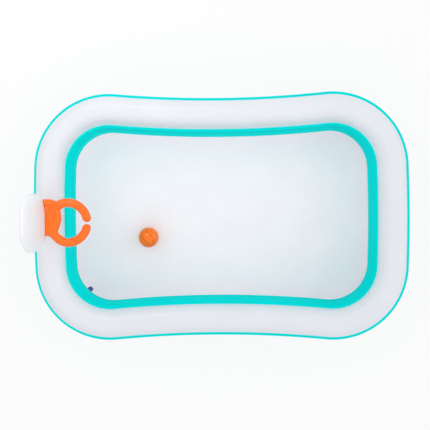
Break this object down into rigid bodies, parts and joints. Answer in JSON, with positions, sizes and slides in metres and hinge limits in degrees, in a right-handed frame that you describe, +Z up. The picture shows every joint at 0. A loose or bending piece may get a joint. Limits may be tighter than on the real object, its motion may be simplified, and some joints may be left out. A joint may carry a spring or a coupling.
{
  "type": "inflatable family pool",
  "caption": "Rounded rectangular inflatable pool with stacked air rings, an inflated backboard and split hoop at one end, a floor drain and an inflated play ball.",
  "frame": {"origin": "on the ground under the middle of the pool's outline", "axes": "+Z up, +X along the pool's length away from the backboard, +Y to the left of +X seen from above"},
  "size_m": [2.544, 1.6814, 1.0021],
  "materials": {
    "white_vinyl": "satin vinyl sheet",
    "teal_vinyl": "satin vinyl sheet",
    "hoop_vinyl": "satin vinyl sheet",
    "ball_vinyl": "satin vinyl sheet with printed grooves",
    "valve_vinyl": "soft moulded vinyl",
    "drain_flange_vinyl": "soft moulded vinyl",
    "drain_plug_vinyl": "soft moulded vinyl"
  },
  "bodies": {
    "pool": {"floor_sheet": "white_vinyl", "bottom_ring_lower_skin": "white_vinyl", "bottom_ring_upper_skin": "teal_vinyl", "bottom_ring_valve_base": "valve_vinyl", "top_ring_lower_skin": "teal_vinyl", "top_ring_upper_skin": "white_vinyl", "top_ring_valve_base": "valve_vinyl", "drain_flange": "drain_flange_vinyl", "backboard_saddle_patch": "white_vinyl"},
    "backboard": {"backboard_front_skin": "white_vinyl", "backboard_back_skin": "white_vinyl", "backboard_foot_fin": "white_vinyl", "backboard_valve_base": "valve_vinyl", "hoop_upper_skin": "hoop_vinyl", "hoop_lower_skin": "hoop_vinyl", "hoop_weld_patch": "hoop_vinyl", "hoop_valve_base": "valve_vinyl"},
    "ball": {"ball_valve_half_skin": "ball_vinyl", "ball_plain_half_skin": "ball_vinyl", "ball_valve_base": "valve_vinyl"},
    "bottom_ring_stem": {"bottom_ring_valve_stem": "valve_vinyl"},
    "bottom_ring_plug": {"bottom_ring_valve_plug": "valve_vinyl"},
    "top_ring_stem": {"top_ring_valve_stem": "valve_vinyl"},
    "top_ring_plug": {"top_ring_valve_plug": "valve_vinyl"},
    "backboard_stem": {"backboard_valve_stem": "valve_vinyl"},
    "backboard_plug": {"backboard_valve_plug": "valve_vinyl"},
    "hoop_stem": {"hoop_valve_stem": "valve_vinyl"},
    "hoop_plug": {"hoop_valve_plug": "valve_vinyl"},
    "ball_stem": {"ball_valve_stem": "valve_vinyl"},
    "ball_plug": {"ball_valve_plug": "valve_vinyl"},
    "drain_stopper": {"drain_plug": "drain_plug_vinyl"}
  },
  "joints": [
    {"name": "backboard_lean", "type": "hinge", "parent": "pool", "child": "backboard", "pos_m": [-1.1508, -0.0243, 0.3951], "axis": [0, 1, 0], "range_deg": [-6, 6], "stiffness_Nm_per_rad": 25},
    {"name": "ball_lift", "type": "slide", "parent": "pool", "child": "ball", "axis": [0, 0, 1], "range_m": [0, 0.5]},
    {"name": "bottom_ring_stem_pull", "type": "slide", "parent": "pool", "child": "bottom_ring_stem", "axis": [-0.0179, -0.7603, 0.6494], "range_m": [0, 0.007]},
    {"name": "bottom_ring_plug_pull", "type": "slide", "parent": "bottom_ring_stem", "child": "bottom_ring_plug", "axis": [-0.0179, -0.7603, 0.6494], "range_m": [0, 0.0062]},
    {"name": "top_ring_stem_pull", "type": "slide", "parent": "pool", "child": "top_ring_stem", "axis": [0.0199, -0.8478, -0.5299], "range_m": [0, 0.007]},
    {"name": "top_ring_plug_pull", "type": "slide", "parent": "top_ring_stem", "child": "top_ring_plug", "axis": [0.0199, -0.8478, -0.5299], "range_m": [0, 0.0062]},
    {"name": "backboard_stem_pull", "type": "slide", "parent": "backboard", "child": "backboard_stem", "axis": [-1, 0, 0], "range_m": [0, 0.007]},
    {"name": "backboard_plug_pull", "type": "slide", "parent": "backboard_stem", "child": "backboard_plug", "axis": [-1, 0, 0], "range_m": [0, 0.0062]},
    {"name": "hoop_stem_pull", "type": "slide", "parent": "backboard", "child": "hoop_stem", "axis": [0, 0, -1], "range_m": [0, 0.007]},
    {"name": "hoop_plug_pull", "type": "slide", "parent": "hoop_stem", "child": "hoop_plug", "axis": [0, 0, -1], "range_m": [0, 0.0062]},
    {"name": "ball_stem_pull", "type": "slide", "parent": "ball", "child": "ball_stem", "axis": [-0.4494, -0.799, -0.3995], "range_m": [0, 0.007]},
    {"name": "ball_plug_pull", "type": "slide", "parent": "ball_stem", "child": "ball_plug", "axis": [-0.4494, -0.799, -0.3995], "range_m": [0, 0.0062]},
    {"name": "drain_plug_pull", "type": "slide", "parent": "pool", "child": "drain_stopper", "axis": [0, 0, 1], "range_m": [0, 0.0062]}
  ]
}
